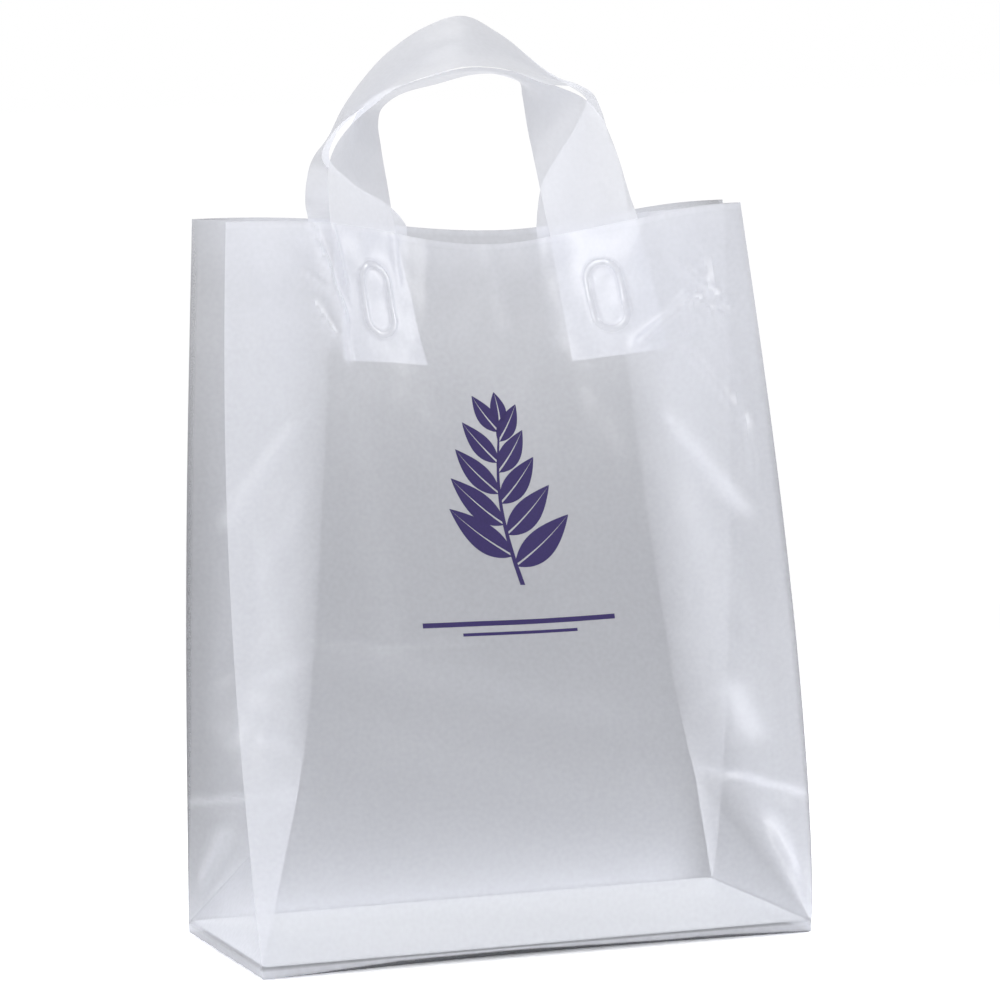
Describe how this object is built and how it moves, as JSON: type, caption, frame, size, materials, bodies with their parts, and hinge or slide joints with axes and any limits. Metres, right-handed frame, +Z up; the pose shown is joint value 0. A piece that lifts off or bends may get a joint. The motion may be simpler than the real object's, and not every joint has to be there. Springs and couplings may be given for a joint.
{
  "type": "plastic carrier bag",
  "caption": "Frosted plastic carrier bag standing open on a square bottom, with folded side gussets, a stiff white board in the base and flat looped film handles welded inside the mouth.",
  "frame": {"origin": "middle of the flat underside that the bag stands on", "axes": "+Z up, the printed front faces -Y, +X to the right when it is seen from the front"},
  "size_m": [0.2572, 0.127, 0.4126],
  "materials": {
    "frosted_film": "frosted translucent film, softly shining on its outside",
    "handle_film": "smooth translucent film, a little thicker and glossier than the bag",
    "white_board": "uncoated white card"
  },
  "bodies": {
    "root": {"bag_body": "frosted_film", "base_board": "white_board", "front_handle": "handle_film", "back_handle": "handle_film"}
  },
  "joints": []
}
